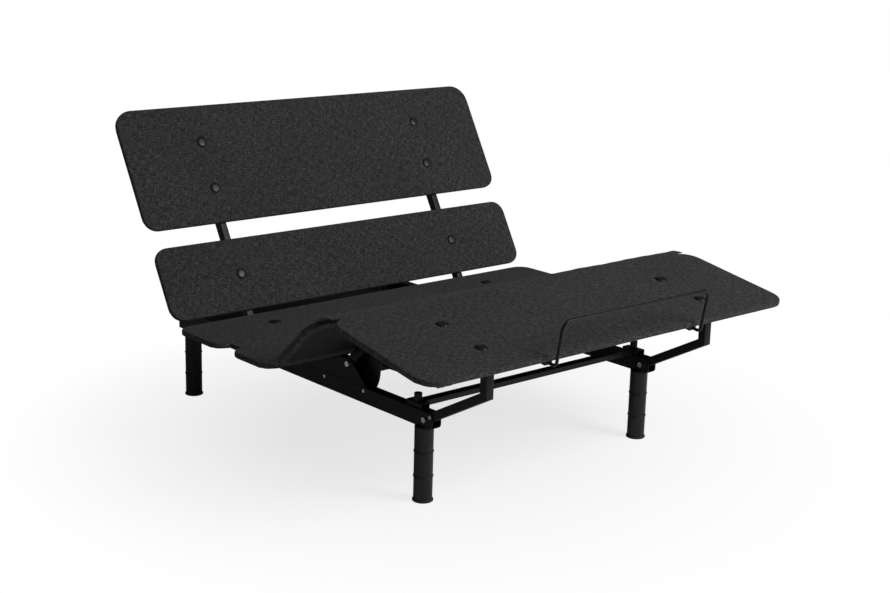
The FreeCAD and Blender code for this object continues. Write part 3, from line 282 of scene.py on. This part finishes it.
CLOTH = woven_polyester()
STEEL = powder_coat("powder_coated_steel", "#08080a", "#0e0e0f", 0.42)
BAR_STEEL = powder_coat("powder_coated_rod", "#0b0b0c", "#111112", 0.34, 0.6)
NYLON = moulded_nylon("moulded_nylon_black", "#0e0e0f", "#141415", 0.38)
CAP_NYLON = moulded_nylon("moulded_cap_nylon", "#0d0d0e", "#151516", 0.36)
ZINC = zinc_plate()
ROD = ground_rod()
BOARD = black_faced_board()
RUBBER = moulded_rubber()


# ---------------------------------------------------------------- making meshes
def piece(name, points, faces, material, smooth=math.radians(35)):
    """A mesh object from arrays of points and faces."""
    mesh = bpy.data.meshes.new(name)
    mesh.from_pydata(points.tolist() if hasattr(points, "tolist") else points, [],
                     faces.tolist() if hasattr(faces, "tolist") else faces)
    finish_mesh(mesh, material, smooth)
    item = bpy.data.objects.new(name, mesh)
    bpy.context.scene.collection.objects.link(item)
    return item


def finish_mesh(mesh, material, smooth):
    mesh.materials.clear()
    mesh.materials.append(material)
    mesh.polygons.foreach_set("use_smooth", np.ones(len(mesh.polygons), bool))
    mesh.set_sharp_from_angle(angle=smooth)
    mesh.update()


def grid_faces(rows, columns, close_columns=False):
    """Quads between neighbouring points of a rows by columns grid, joined end to end if asked."""
    i = np.arange(rows - 1)
    j = np.arange(columns if close_columns else columns - 1)
    a, b = np.meshgrid(i, j, indexing="ij")
    a, b = a.ravel(), b.ravel()
    c, d = a + 1, (b + 1) % columns
    return np.stack([a * columns + b, a * columns + d, c * columns + d, c * columns + b], axis=1)


def set_uv(mesh, name, spots):
    """Gives each vertex its (u, v) in metres as a UV map."""
    layer = mesh.uv_layers.new(name=name)
    corner = np.empty(len(mesh.loops), int)
    mesh.loops.foreach_get("vertex_index", corner)
    layer.data.foreach_set("uv", np.asarray(spots, float)[corner].ravel())


def turned(points, pivot, angle):
    """Points of a section lying flat about its pivot, turned about X by angle and set in place."""
    c, s = math.cos(angle), math.sin(angle)
    x, y, z = points.T
    return np.stack([x + pivot[0], pivot[1] + y * c - z * s, pivot[2] + y * s + z * c], axis=1)


def flattened(points, pivot, angle):
    """The same the other way round."""
    c, s = math.cos(angle), math.sin(angle)
    x, y, z = (points - pivot).T
    return np.stack([x, y * c + z * s, -y * s + z * c], axis=1)


def vertices(node):
    mesh = frame["nodes"][node].data
    flat = np.empty(len(mesh.vertices) * 3)
    mesh.vertices.foreach_get("co", flat)
    return flat.reshape(-1, 3)


def lathe(profile, spot, axis, count=40):
    """Points of (radius, height) pairs carried round an axis through spot, their quads and two ends."""
    axis = np.array(axis, float)
    side = np.cross(axis, [1, 0, 0] if abs(axis[0]) < 0.9 else [0, 1, 0])
    side /= np.linalg.norm(side)
    other = np.cross(axis, side)
    turn = np.linspace(0, 2 * math.pi, count, endpoint=False)
    ring = np.outer(np.cos(turn), side) + np.outer(np.sin(turn), other)
    radius, height = np.array(profile, float).T
    points = (radius[:, None, None] * ring[None] + height[:, None, None] * axis).reshape(-1, 3)
    first = np.arange(count)
    ends = np.stack([first[::-1], first + (len(radius) - 1) * count])
    return points + np.array(spot, float), grid_faces(len(radius), count, close_columns=True), ends


def several(name, parts, material, smooth=math.radians(35)):
    """One mesh object from several (points, quads, ends) parts."""
    starts = np.cumsum([0] + [len(spots) for spots, _, _ in parts])
    faces = []
    for start, (_, quads, ends) in zip(starts, parts):
        faces += (quads + start).tolist() + (ends + start).tolist()
    return piece(name, np.concatenate([spots for spots, _, _ in parts]), faces, material, smooth)


def islands(node):
    """The points of a CAD node's separate solids, in order of their centres.

    Points at one place share a number, and each triangle passes on the lowest of its three until
    nothing changes, so that every solid ends with one number.
    """
    mesh = frame["nodes"][node].data
    corner = np.empty(len(mesh.loops), int)
    mesh.loops.foreach_get("vertex_index", corner)
    spots, same = np.unique(vertices(node).round(6), axis=0, return_inverse=True)
    faces = same.ravel()[corner].reshape(-1, 3)
    label, before = np.arange(len(spots)), None
    while before is None or (label != before).any():
        before = label.copy()
        np.minimum.at(label, faces, before[faces].min(axis=1)[:, None])
    found = [spots[label == number] for number in np.unique(label)]
    return sorted(found, key=lambda group: tuple(group.mean(0).round(4)))


def eased(node, material, radius, longer_than=40 * MM, steps=3):
    """A copy of a CAD node with its long outer edges rounded, as drawn tube and folded plate have."""
    source = frame["nodes"][node]
    mesh = bmesh.new()
    mesh.from_mesh(source.data)
    bmesh.ops.remove_doubles(mesh, verts=mesh.verts, dist=2e-6)
    bmesh.ops.dissolve_limit(mesh, angle_limit=math.radians(0.6), verts=mesh.verts, edges=mesh.edges)
    sharp = [
        edge for edge in mesh.edges
        if len(edge.link_faces) == 2 and edge.calc_length() > longer_than
        and edge.is_convex and edge.calc_face_angle(0) > math.radians(50)
    ]
    if sharp and radius:
        bmesh.ops.bevel(mesh, geom=sharp, offset=radius, segments=steps, profile=0.5, affect="EDGES",
                        clamp_overlap=True)
    data = bpy.data.meshes.new(node + "_steel")
    mesh.to_mesh(data)
    mesh.free()
    finish_mesh(data, material, math.radians(32))
    item = bpy.data.objects.new(node + "_eased", data)
    bpy.context.scene.collection.objects.link(item)
    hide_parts(node)
    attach(item, body_of_node[node])
    return item


# ---------------------------------------------------------------- sections of the bed
body_of_node = {n: b for b, ns in frame["record"]["behaviour"]["bodies"].items() for n in ns}
joints = {j["name"]: j for j in frame["joints"]}


def raised(name):
    """How far a hinge stands from its flat limit, in radians, with the sign it was turned by."""
    low, high = joints[name]["range_deg"]
    return -math.radians(low if abs(low) > abs(high) else high)


BACK = (np.array(joints["back_lift"]["pos_m"]), raised("back_lift"))
THIGH = (np.array(joints["thigh_lift"]["pos_m"]), raised("thigh_lift"))
LEG = (np.array(joints["leg_fold"]["pos_m"]), raised("thigh_lift") + raised("leg_fold"))
BASE = (np.zeros(3), 0.0)
SECTION = {"base": BASE, "back_section": BACK, "thigh_section": THIGH, "leg_section": LEG}


def local_box(node):
    """(low, high) corners of a node in its own section, lying flat."""
    spots = flattened(vertices(node), *SECTION[body_of_node[node]])
    return spots.min(0), spots.max(0)


# ---------------------------------------------------------------- cloth covers
CORNER = 48 * MM
END_CORNER = 64 * MM
EDGE_ROUND = 4.5 * MM
MARGIN = 28 * MM
# node: corner radius at its foot edge and at its head edge
COVERS = {
    "seat_cover": (CORNER, CORNER),
    "hip_cover": (CORNER, CORNER),
    "lower_back_cover": (CORNER, CORNER),
    "upper_back_cover": (CORNER, END_CORNER),
    "thigh_cover": (CORNER, CORNER),
    "leg_cover": (END_CORNER, END_CORNER),
}


def outline(half_x, low_y, high_y, low_radius, high_radius, inset, side_steps, corner_steps):
    """A rounded rectangle drawn in by inset: points and outward directions round it.

    Each corner is a quarter circle of (radius - inset), which shrinks to a point and then stays
    square; each side is a straight run between two corners.
    """
    corners = [
        (half_x, low_y, low_radius, -90), (half_x, high_y, high_radius, 0),
        (-half_x, high_y, high_radius, 90), (-half_x, low_y, low_radius, 180),
    ]
    points, outward = [], []
    for k, (x, y, radius, start) in enumerate(corners):
        turn = np.radians(start + np.linspace(0, 90, corner_steps))
        way = np.stack([np.cos(turn), np.sin(turn)], axis=1)
        middle = np.array([x - math.copysign(radius, x), y + (radius if y == low_y else -radius)])
        left = max(radius - inset, 0.0)
        spare = max(inset - radius, 0.0)
        pulled = middle - np.array([math.copysign(spare, x), -spare if y == low_y else spare])
        points.append(pulled + way * left)
        outward.append(way)
        nx, ny, nr, nstart = corners[(k + 1) % 4]
        next_middle = np.array([nx - math.copysign(nr, nx), ny + (nr if ny == low_y else -nr)])
        nleft, nspare = max(nr - inset, 0.0), max(inset - nr, 0.0)
        next_pulled = next_middle - np.array([math.copysign(nspare, nx), -nspare if ny == low_y else nspare])
        end_way = np.array([math.cos(math.radians(nstart)), math.sin(math.radians(nstart))])
        run = np.linspace(0, 1, side_steps[k % 2] + 2)[1:-1, None]
        a, b = points[-1][-1], next_pulled + end_way * nleft
        points.append(a + (b - a) * run)
        outward.append(np.repeat(end_way[None], len(run), axis=0))
    return np.concatenate(points), np.concatenate(outward)


def cover(node, low_radius, high_radius):
    """Cloth stretched over a board: flat on top, round its edges, and a hem pulled under it.

    The outline of the board is drawn in ring by ring.  A ring past the edge keeps the outline and
    follows the edge's section: a quarter circle down, the side, a quarter circle under, the hem.
    """
    low, high = local_box(node)
    half = (high[0] - low[0]) / 2
    thick = high[2] - low[2]
    reach = (high[1] - low[1]) / 2
    steps = (max(4, int(2 * reach / 0.02)), 70)
    insets = np.concatenate([
        np.linspace(reach - 1e-4, 0.06, 8), [0.045, 0.03, 0.02, 0.014, 0.009, 0.006],
    ])
    bend = np.radians(np.linspace(0, 90, 6))
    rings = [(i, thick, 0.0) for i in insets]
    rings += [(EDGE_ROUND * (1 - math.sin(t)), thick - EDGE_ROUND * (1 - math.cos(t)), EDGE_ROUND * t)
              for t in bend]
    side_run = EDGE_ROUND * math.pi / 2
    rings += [(0.0, thick / 2, side_run + thick / 2 - EDGE_ROUND)]
    under_run = side_run + thick - 2 * EDGE_ROUND
    rings += [(EDGE_ROUND * (1 - math.cos(t)), EDGE_ROUND * (1 - math.sin(t)), under_run + EDGE_ROUND * t)
              for t in bend]
    hem_run = under_run + EDGE_ROUND * math.pi / 2
    rings += [(i, 0.0, hem_run + i - EDGE_ROUND) for i in (0.010, 0.016, 0.022, MARGIN - 0.002)]
    rings += [(MARGIN, 0.0008, hem_run + MARGIN - EDGE_ROUND)]
    points, spots = [], []
    for inset, z, past in rings:
        line, outward = outline(half, low[1], high[1], low_radius, high_radius, inset, steps, 12)
        corner = np.minimum(np.abs(outward[:, 0]), np.abs(outward[:, 1])) > 0.02
        angle = np.arctan2(outward[:, 1], outward[:, 0])
        pleat = np.where(corner, np.sin(angle * 34) * 0.5 + np.sin(angle * 57) * 0.3, 0.0)
        depth = 0.0009 * min(1.0, past / (side_run + 1e-9)) if past else 0.0
        height = z + (pleat * depth if z < thick / 2 else 0.0) + low[2]
        if past:
            line = line - outward * (np.abs(pleat) * depth * 0.7)[:, None]
            flat, _ = outline(half, low[1], high[1], low_radius, high_radius, 0.0, steps, 12)
            spots.append(flat + outward * (past - EDGE_ROUND))
        else:
            spots.append(line)
        height = np.broadcast_to(height, len(line))
        points.append(np.column_stack([line, height]))
    count = len(points[0])
    points, spots = np.concatenate(points), np.concatenate(spots)
    points = turned(points, *SECTION[body_of_node[node]])
    item = piece(node + "_cloth", points, grid_faces(len(rings), count, close_columns=True), CLOTH,
                 math.radians(60))
    set_uv(item.data, "cut", spots)
    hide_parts(node)
    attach(item, body_of_node[node])
    return item


def fold(name, node, line, body, other=None, wider=0.0):
    """A strip of cloth across the bed that follows a smooth line of (y, z) points.

    The line is drawn through the points and smoothed; its ends curl a little way down behind the panel edges,
    and a shallow ripple runs along it.  `wider` is added at each end.
    """
    low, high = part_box(node)
    line = np.array(line)
    along = np.concatenate([[0], np.cumsum(np.linalg.norm(np.diff(line, axis=0), axis=1))])
    fine = np.linspace(0, along[-1], 33)
    smooth = np.stack([np.interp(fine, along, line[:, i]) for i in range(2)], axis=1)
    for _ in range(14):
        smooth[1:-1] = (smooth[:-2] + 2 * smooth[1:-1] + smooth[2:]) / 4
    across = np.linspace(low.x - wider, high.x + wider, 141)
    slope = np.gradient(smooth, axis=0)
    slope /= np.linalg.norm(slope, axis=1)[:, None]
    normal = np.stack([-slope[:, 1], slope[:, 0]], axis=1)
    share = np.sin(np.linspace(0, math.pi, 33)) ** 2
    ripple = 0.0007 * np.sin(across * 31 + 2 * np.sin(across * 5.3)) + 0.0004 * np.sin(across * 83)
    lift = share[:, None] * ripple[None]
    y = smooth[:, None, 0] + normal[:, None, 0] * lift
    z = smooth[:, None, 1] + normal[:, None, 1] * lift
    x = np.broadcast_to(across, y.shape)
    points = np.stack([x, y, z], axis=-1).reshape(-1, 3)
    item = piece(name, points, grid_faces(33, 141), CLOTH, math.radians(60))
    if item.data.polygons[len(item.data.polygons) // 2].normal.z < 0:
        item.data.flip_normals()
    run = np.broadcast_to(fine[:, None], y.shape)
    set_uv(item.data, "cut", np.stack([x, run], axis=-1).reshape(-1, 2))
    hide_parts(node)
    if other:
        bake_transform(item)
    else:
        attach(item, body)
    return item


def placed(section, y, z):
    """The (y, z) of a section's own flat point once the section is raised."""
    return turned(np.array([[0.0, y, z]]), *SECTION[section])[0, 1:]


# ---------------------------------------------------------------- turned parts
def bolt_caps(node):
    """Round push-in caps: a low dome with a rolled rim and a shallow ring round its crown."""
    pivot, angle = SECTION[body_of_node[node]]
    axis = (0, -math.sin(angle), math.cos(angle))
    parts = []
    for spots in islands(node):
        flat = flattened(spots, pivot, angle)
        low, high = flat.min(0), flat.max(0)
        middle = (low + high) / 2
        radius = (high[0] - low[0]) / 2
        top = high[2]
        height = 5.5 * MM
        r = radius * np.array(
            [0.22, 0.22, 0.9, 1.0, 0.985, 0.93, 0.84, 0.74, 0.68, 0.65, 0.6, 0.4, 0.2, 0.01])
        h = top - height * np.array(
            [3.0, 1.0, 1.0, 0.9, 0.62, 0.36, 0.18, 0.07, 0.03, 0.12, 0.06, 0.02, 0.0, 0.0])
        base = turned(np.array([[middle[0], middle[1], 0.0]]), pivot, angle)[0]
        parts.append(lathe(np.column_stack([r, h]), base, axis))
    item = several(node + "_domes", parts, CAP_NYLON)
    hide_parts(node)
    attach(item, body_of_node[node])


def support_leg(node):
    """Three stacked moulded segments: each with a rolled lip at its foot and a soft shoulder on top."""
    low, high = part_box(node)
    x, y = (low.x + high.x) / 2, (low.y + high.y) / 2
    mark = (high.z - low.z + 9 * MM) / 3
    wide, body = 30.3 * MM, 28.5 * MM
    profile = [(8 * MM, low.z), (body * 0.97, low.z), (body, low.z + 1 * MM)]
    for k in (1, 2):
        joint = k * mark
        profile += [
            (body, joint - 1.6 * MM), (body - 0.8 * MM, joint - 0.6 * MM),
            (body - 0.9 * MM, joint - 0.1 * MM),
            (wide - 0.9 * MM, joint), (wide, joint + 0.8 * MM), (wide, joint + 3.2 * MM),
            (wide - 0.7 * MM, joint + 4.0 * MM), (body, joint + 4.6 * MM),
        ]
    profile += [(body, high.z - 1.5 * MM), (body - 1.2 * MM, high.z), (9 * MM, high.z)]
    item = several(node + "_moulded", [lathe(profile, (x, y, 0), (0, 0, 1), count=64)], NYLON)
    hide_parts(node)
    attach(item, "base")


def foot_pads():
    """A flared rubber floor pad under each leg, with a chamfered floor edge."""
    parts = []
    for spots in islands("foot_pads"):
        low, high = spots.min(0), spots.max(0)
        middle = (low + high) / 2
        radius, tall = (high[0] - low[0]) / 2, high[2] - low[2]
        profile = [(radius * 0.3, 0), (radius * 0.94, 0), (radius * 0.99, tall * 0.12), (radius, tall * 0.3),
                   (radius, tall * 0.55), (radius * 0.97, tall * 0.8), (radius * 0.92, tall),
                   (radius * 0.3, tall)]
        parts.append(lathe(profile, (middle[0], middle[1], low[2]), (0, 0, 1), count=64))
    item = several("foot_pads_moulded", parts, RUBBER)
    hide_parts("foot_pads")
    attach(item, "base")


# ---------------------------------------------------------------- build
add_camera()
for node, (low_radius, high_radius) in COVERS.items():
    cover(node, low_radius, high_radius)

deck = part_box("seat_cover")[1].z
seat_foot, hip_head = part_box("seat_cover")[0].y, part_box("hip_cover")[1].y
hip_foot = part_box("hip_cover")[0].y
TUCK = 5 * MM
KNEE_OVERLAP = 30 * MM      # the knee strip reaches out over the rounded panel corners
fold("seat_hip_strip", "seat_hip_cloth",
     [(hip_head + TUCK * 0.2, deck - TUCK), (hip_head + TUCK, deck - 0.7 * MM),
      ((seat_foot + hip_head) / 2, deck - 2.5 * MM),
      (seat_foot - TUCK, deck - 0.7 * MM), (seat_foot - TUCK * 0.2, deck - TUCK)], "base")
thigh_low, thigh_high = local_box("thigh_cover")
leg_low, leg_high = local_box("leg_cover")
rise = thigh_high[2]
head_edge = placed("thigh_section", thigh_high[1], rise)
hip_edge = (hip_foot, deck)
fold("hip_thigh_strip", "thigh_fold_cloth",
     [(hip_edge[0], deck - 3 * MM), (hip_edge[0] - 2 * MM, deck - 1 * MM),
      ((hip_edge[0] + head_edge[0]) / 2, deck - 9 * MM),
      placed("thigh_section", thigh_high[1] + 2 * MM, rise - 1 * MM),
      placed("thigh_section", thigh_high[1], rise - 3 * MM)],
     "base", "thigh_section")
fold("thigh_leg_strip", "knee_fold_cloth",
     [placed("thigh_section", thigh_low[1], rise - 3 * MM),
      placed("thigh_section", thigh_low[1] - 2 * MM, rise - 1 * MM),
      placed("leg_section", 14 * MM, 26 * MM),
      placed("leg_section", leg_high[1] + 2 * MM, rise - 1 * MM),
      placed("leg_section", leg_high[1], rise - 3 * MM)],
     "thigh_section", "leg_section", KNEE_OVERLAP)

for node in ("seat_caps", "back_caps", "leg_caps"):
    bolt_caps(node)
for node in sorted(frame["nodes"]):
    if node.startswith("support_leg"):
        support_leg(node)
foot_pads()

TUBES = ["side_rail_left", "side_rail_right", "head_cross_rail", "foot_cross_rail", "actuator_cross_rails",
         "seat_tubes", "deck_risers", "back_tube_left", "back_tube_right", "back_cross_tubes", "thigh_tubes",
         "thigh_cross_tube", "leg_tubes", "foot_arm_left", "foot_arm_right"]
for node in TUBES:
    eased(node, STEEL, 2.4 * MM)
PLATES = ["knee_gusset_left", "knee_gusset_right", "back_hinge_plates", "knee_hinge_plates", "slide_plates",
          "thigh_quadrants", "back_lift_lever", "thigh_lift_lever"]
for node in PLATES:
    eased(node, STEEL, 0.6 * MM, longer_than=8 * MM, steps=2)
for node in ("control_box", "head_actuator", "knee_actuator", "retainer_clips", "rail_end_caps"):
    eased(node, NYLON, 2.5 * MM, longer_than=11 * MM)

FINISH = {
    "black_steel": STEEL, "zinc": ZINC, "bar_steel": BAR_STEEL, "board": BOARD, "cloth": CLOTH,
    "moulded_plastic": NYLON, "dark_rubber": RUBBER, "polished_rod": ROD,
}
slots = {s["node"]: s["material_slot"] for s in frame["record"]["subparts"]}
for node, item in frame["nodes"].items():
    if not item.hide_render:
        item.data.materials.clear()
        item.data.materials.append(FINISH[slots[node]])
        item.data.polygons.foreach_set("use_smooth", np.ones(len(item.data.polygons), bool))
        item.data.set_sharp_from_angle(angle=math.radians(32))


# ---------------------------------------------------------------- floor, light and world
def add_floor():
    """A pale floor: near the bed it keeps the shadow, and further out it fades to plain white."""
    size = 40.0
    mesh = bpy.data.meshes.new("floor")
    corners = [(-size, -size, 0), (size, -size, 0), (size, size, 0), (-size, size, 0)]
    mesh.from_pydata(corners, [], [(0, 1, 2, 3)])
    material, tree, shader = blank("matt_white_floor")
    shader.inputs["Base Color"].default_value = srgb("#f2f2f2")
    shader.inputs["Roughness"].default_value = 0.9
    shader.inputs["Specular IOR Level"].default_value = 0.1
    place = add(tree, "TexCoord", out="Object")
    far = add(tree, "VectorMath", {"operation": "LENGTH"}, {0: place}, out="Value")
    fade = add(tree, "MapRange", None, {
        "Value": far, "From Min": SHADOW_REACH, "From Max": FADE_REACH, "To Min": SHADOW_LIFT, "To Max": 1.0,
    })
    camera_ray = add(tree, "LightPath", out="Is Camera Ray")
    seen = add(tree, "Math", {"operation": "MULTIPLY"}, {0: camera_ray, 1: fade})
    white = add(tree, "Emission", None, {"Color": (1, 1, 1, 1), "Strength": 1.0})
    both = add(tree, "MixShader", None, {0: seen, 1: shader.outputs[0], 2: white})
    tree.links.new(both, tree.nodes["Material Output"].inputs["Surface"])
    mesh.materials.append(material)
    floor = bpy.data.objects.new("floor", mesh)
    bpy.context.scene.collection.objects.link(floor)


def add_lamp(name, spot, target, size, power):
    """A square soft box at spot that faces target."""
    data = bpy.data.lights.new(name, "AREA")
    data.shape = "SQUARE"
    data.size, data.energy = size, power
    lamp = bpy.data.objects.new(name, data)
    lamp.location = spot
    lamp.rotation_mode = "QUATERNION"
    lamp.rotation_quaternion = (Vector(target) - Vector(spot)).to_track_quat("-Z", "Y")
    bpy.context.scene.collection.objects.link(lamp)


def add_world(fill):
    """An even surround: `fill` lights the object, and the eye and clear parts see it as white."""
    world = bpy.data.worlds.new("studio")
    bpy.context.scene.world = world
    world.use_nodes = True
    tree = world.node_tree
    seen = add(tree, "Math", {"operation": "MAXIMUM"}, {
        0: add(tree, "LightPath", out="Is Camera Ray"), 1: add(tree, "LightPath", out="Is Transmission Ray"),
    })
    strength = add(tree, "Math", {"operation": "MULTIPLY_ADD"}, {0: seen, 1: 1 - fill, 2: fill})
    tree.links.new(strength, tree.nodes["Background"].inputs["Strength"])
    tree.nodes["Background"].inputs["Color"].default_value = (1, 1, 1, 1)


SHADOW_REACH, FADE_REACH = 0.5, 1.45     # metres from the middle of the bed
SHADOW_LIFT = 0.76
add_floor()
add_world(0.07)
add_lamp("key", (1.9, -4.2, 3.5), (0, 0.2, 0.5), 2.4, 285)
add_lamp("top", (0.3, -0.6, 4.8), (0, 0, 0.3), 3.6, 8)
add_lamp("side", (-4.2, -2.0, 2.0), (0, 0, 0.5), 2.4, 14)
bpy.context.scene.view_settings.view_transform = "Standard"
